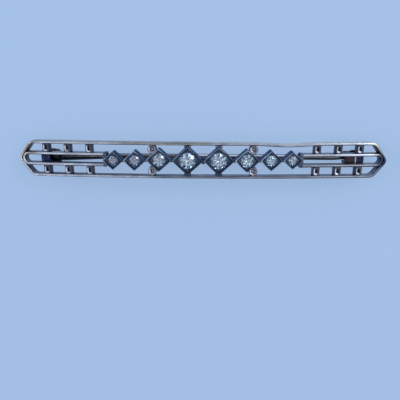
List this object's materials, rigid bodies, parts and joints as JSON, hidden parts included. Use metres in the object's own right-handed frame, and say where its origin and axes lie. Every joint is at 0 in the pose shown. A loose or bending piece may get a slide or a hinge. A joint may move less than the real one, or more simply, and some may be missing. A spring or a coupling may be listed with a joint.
{
  "type": "bar brooch",
  "caption": "Long pierced bar brooch with a graduated row of box-set round stones, two hairpin loops, and a hinged pin with a turning safety catch behind.",
  "frame": {"origin": "on the surface that the brooch lies on, under the middle of the bar", "axes": "+X along the bar from the hinge to the catch, +Y across the bar to the rail that is uppermost in the picture, +Z out of the front"},
  "size_m": [0.066, 0.0064, 0.0058],
  "materials": {
    "silver": "polished silver-coloured metal, rounded edges, darker in the corners",
    "dark_silver": "blue-black tarnished metal with bright worn rims",
    "pin_metal": "olive-grey worn metal with brown tarnish",
    "stone": "clear colourless brilliant-cut stone"
  },
  "bodies": {
    "brooch": {"frame": "silver", "stone_1": "stone", "stone_2": "stone", "stone_3": "stone", "stone_4": "stone", "stone_5": "stone", "stone_6": "stone", "stone_7": "stone", "stone_8": "stone", "hinge_rivet": "pin_metal"},
    "pin": {"pin_stem": "pin_metal"},
    "catch": {"catch_rotor": "pin_metal"}
  },
  "joints": [
    {"name": "pin_swing", "type": "hinge", "parent": "brooch", "child": "pin", "pos_m": [-0.0287, 0, 0.0008], "axis": [0, 1, 0], "range_deg": [0, 80]},
    {"name": "catch_turn", "type": "hinge", "parent": "brooch", "child": "catch", "pos_m": [0.0276, 0, 0.001], "axis": [1, 0, 0], "range_deg": [-56, 0]}
  ]
}
